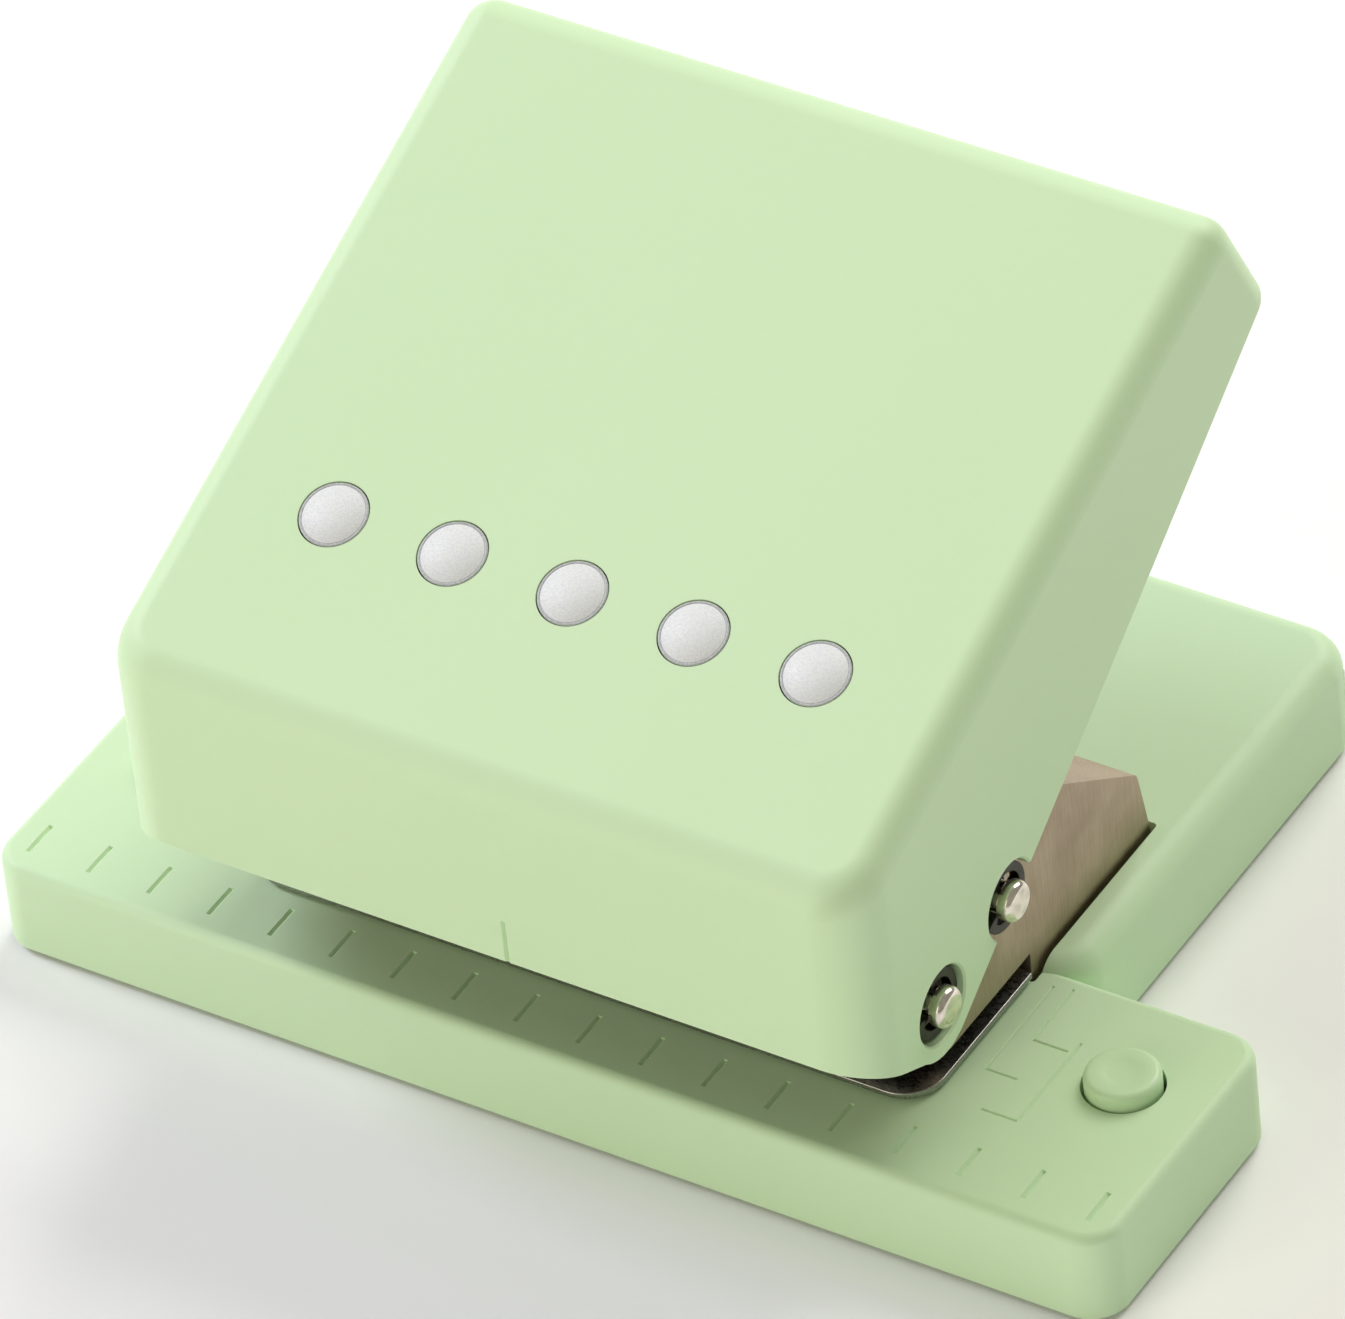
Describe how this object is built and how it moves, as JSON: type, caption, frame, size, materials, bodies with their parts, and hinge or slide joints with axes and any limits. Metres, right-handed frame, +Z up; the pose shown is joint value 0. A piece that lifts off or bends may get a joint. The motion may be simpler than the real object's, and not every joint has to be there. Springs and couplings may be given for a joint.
{
  "type": "hole punch",
  "caption": "Desk punch for loose-leaf paper: pale green hand cover hinged over a folded steel frame, on a base with a ruler strip, locating pegs and a chip tray.",
  "frame": {"origin": "bottom centre of the bounding box with the cover raised, on the plane the feet stand on", "axes": "+X along the ruler strip to the right seen from the front, +Y from the front to the rear, +Z up"},
  "size_m": [0.0896, 0.0652, 0.0545],
  "materials": {
    "green_plastic": "pale green, fine satin grain",
    "tray_plastic": "pale green, satin",
    "dot_plastic": "light grey, fine grain",
    "sheet_steel": "plated sheet, satin",
    "bright_steel": "bright plated",
    "spring_steel": "spring wire",
    "rubber": "matte black"
  },
  "bodies": {
    "base": {"base_shell": "green_plastic", "foot_front_left": "rubber", "foot_front_right": "rubber", "foot_rear_left": "rubber", "foot_rear_right": "rubber", "die_plate": "sheet_steel", "guide_plate": "sheet_steel", "punch_frame": "sheet_steel", "pivot_pin": "bright_steel", "pivot_clip_left": "bright_steel", "pivot_clip_right": "bright_steel", "frame_screw_1": "bright_steel", "frame_screw_2": "bright_steel", "frame_screw_3": "bright_steel", "frame_screw_4": "bright_steel", "die_screw_1": "bright_steel", "die_screw_2": "bright_steel", "peg_spring_left": "spring_steel", "peg_spring_right": "spring_steel", "peg_retainer_left": "tray_plastic", "peg_retainer_right": "tray_plastic", "punch_spring_1": "spring_steel", "punch_spring_2": "spring_steel", "punch_spring_3": "spring_steel", "punch_spring_4": "spring_steel", "punch_spring_5": "spring_steel"},
    "lever_unit": {"top_cover": "green_plastic", "lever": "sheet_steel", "drive_pin": "bright_steel", "drive_clip_left": "bright_steel", "drive_clip_right": "bright_steel", "cover_screw_1": "bright_steel", "cover_screw_2": "bright_steel", "cover_screw_3": "bright_steel", "cover_screw_4": "bright_steel", "dot_1": "dot_plastic", "dot_2": "dot_plastic", "dot_3": "dot_plastic", "dot_4": "dot_plastic", "dot_5": "dot_plastic"},
    "tray": {"chip_tray": "tray_plastic"},
    "left_peg": {"peg_left": "green_plastic"},
    "right_peg": {"peg_right": "green_plastic"},
    "punch_1_body": {"punch_1": "bright_steel"},
    "punch_2_body": {"punch_2": "bright_steel"},
    "punch_3_body": {"punch_3": "bright_steel"},
    "punch_4_body": {"punch_4": "bright_steel"},
    "punch_5_body": {"punch_5": "bright_steel"}
  },
  "joints": [
    {"name": "lever_hinge", "type": "hinge", "parent": "base", "child": "lever_unit", "pos_m": [0, -0.02337, 0.0189], "axis": [-1, 0, 0], "range_deg": [0, 22], "stiffness_Nm_per_rad": 0.5, "springref_deg": -8.59},
    {"name": "punch_1_slide", "type": "slide", "parent": "base", "child": "punch_1_body", "axis": [0, 0, -1], "range_m": [0, 0.0037], "stiffness_N_per_m": 60, "springref_m": -0.003, "deforming": ["punch_spring_1"]},
    {"name": "punch_2_slide", "type": "slide", "parent": "base", "child": "punch_2_body", "axis": [0, 0, -1], "range_m": [0, 0.0037], "stiffness_N_per_m": 60, "springref_m": -0.003, "deforming": ["punch_spring_2"]},
    {"name": "punch_3_slide", "type": "slide", "parent": "base", "child": "punch_3_body", "axis": [0, 0, -1], "range_m": [0, 0.0037], "stiffness_N_per_m": 60, "springref_m": -0.003, "deforming": ["punch_spring_3"]},
    {"name": "punch_4_slide", "type": "slide", "parent": "base", "child": "punch_4_body", "axis": [0, 0, -1], "range_m": [0, 0.0037], "stiffness_N_per_m": 60, "springref_m": -0.003, "deforming": ["punch_spring_4"]},
    {"name": "punch_5_slide", "type": "slide", "parent": "base", "child": "punch_5_body", "axis": [0, 0, -1], "range_m": [0, 0.0037], "stiffness_N_per_m": 60, "springref_m": -0.003, "deforming": ["punch_spring_5"]},
    {"name": "peg_left_slide", "type": "slide", "parent": "base", "child": "left_peg", "axis": [0, 0, -1], "range_m": [0, 0.0012], "stiffness_N_per_m": 300, "springref_m": -0.001, "deforming": ["peg_spring_left"]},
    {"name": "peg_right_slide", "type": "slide", "parent": "base", "child": "right_peg", "axis": [0, 0, -1], "range_m": [0, 0.0012], "stiffness_N_per_m": 300, "springref_m": -0.001, "deforming": ["peg_spring_right"]},
    {"name": "tray_slide", "type": "slide", "parent": "base", "child": "tray", "axis": [0, 1, 0], "range_m": [0, 0.045]}
  ],
  "couplings": [
    {"joint": "punch_1_slide", "follows": "lever_hinge", "m_per_rad": 0.009456},
    {"joint": "punch_2_slide", "follows": "lever_hinge", "m_per_rad": 0.009456},
    {"joint": "punch_3_slide", "follows": "lever_hinge", "m_per_rad": 0.009456},
    {"joint": "punch_4_slide", "follows": "lever_hinge", "m_per_rad": 0.009456},
    {"joint": "punch_5_slide", "follows": "lever_hinge", "m_per_rad": 0.009456}
  ]
}
